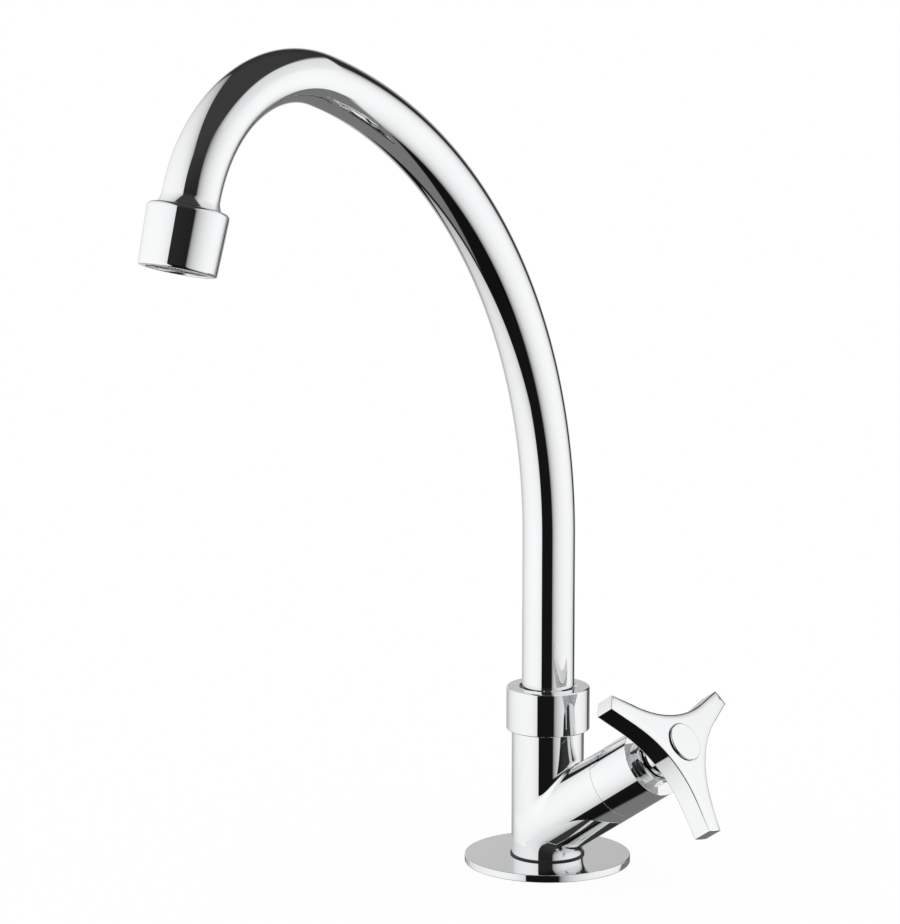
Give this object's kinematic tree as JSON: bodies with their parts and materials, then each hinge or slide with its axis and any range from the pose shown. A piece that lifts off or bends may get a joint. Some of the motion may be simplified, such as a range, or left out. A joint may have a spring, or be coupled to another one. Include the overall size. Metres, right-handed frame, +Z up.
{
  "type": "kitchen tap",
  "caption": "Deck-mounted single tap with a tall swan-neck swivel spout, an angled side valve, a three-armed handle and a threaded shank with a clamping nut.",
  "frame": {"origin": "centre of the base plate's underside, in the plane of the worktop", "axes": "+Z up along the body's axis; the spout at rest reaches out along -Y; the valve branch rises from the body towards +X"},
  "size_m": [0.1097, 0.2386, 0.3603],
  "materials": {
    "polished_chrome": "polished chrome plate on brass",
    "natural_brass": "turned, uncoated",
    "plated_steel": "zinc plated",
    "steel_gauze": "woven stainless wire",
    "black_rubber": "matt moulded rubber",
    "white_acetal": "machined",
    "alumina_ceramic": "lapped white ceramic",
    "grey_plastic": "moulded"
  },
  "bodies": {
    "base_unit": {"base_gasket": "black_rubber", "foot_seal": "black_rubber", "clamp_rubber": "black_rubber", "headwork_gasket": "black_rubber", "lip_seal": "black_rubber", "base_plate": "polished_chrome", "tap_body": "polished_chrome", "collar_nut": "polished_chrome", "valve_sleeve": "polished_chrome", "neck_nut": "polished_chrome", "inlet_shank": "natural_brass", "lock_nut": "natural_brass", "headwork_housing": "natural_brass", "thrust_washer": "natural_brass", "clamp_washer": "plated_steel", "lower_slip_ring": "white_acetal", "upper_slip_ring": "white_acetal", "fixed_disc": "alumina_ceramic"},
    "spout_unit": {"spout_tube": "polished_chrome", "spout_spigot": "natural_brass", "spigot_o_rings": "black_rubber", "outlet_bush": "polished_chrome", "aerator_housing": "polished_chrome", "aerator_gasket": "black_rubber", "aerator_sieve": "steel_gauze", "aerator_insert": "grey_plastic", "aerator_mesh": "steel_gauze"},
    "handle_unit": {"handle": "polished_chrome", "index_cap": "polished_chrome", "handle_screw": "plated_steel", "spindle": "natural_brass", "moving_disc": "alumina_ceramic", "stem_o_rings": "black_rubber", "stem_circlip": "plated_steel"}
  },
  "joints": [
    {"name": "spout_swivel", "type": "hinge", "parent": "base_unit", "child": "spout_unit", "pos_m": [0, 0, 0.0565], "axis": [0, 0, 1], "continuous": true},
    {"name": "handle_turn", "type": "hinge", "parent": "base_unit", "child": "handle_unit", "pos_m": [0.04986, 0, 0.04653], "axis": [0.831, 0, 0.5563], "range_deg": [0, 90]}
  ]
}
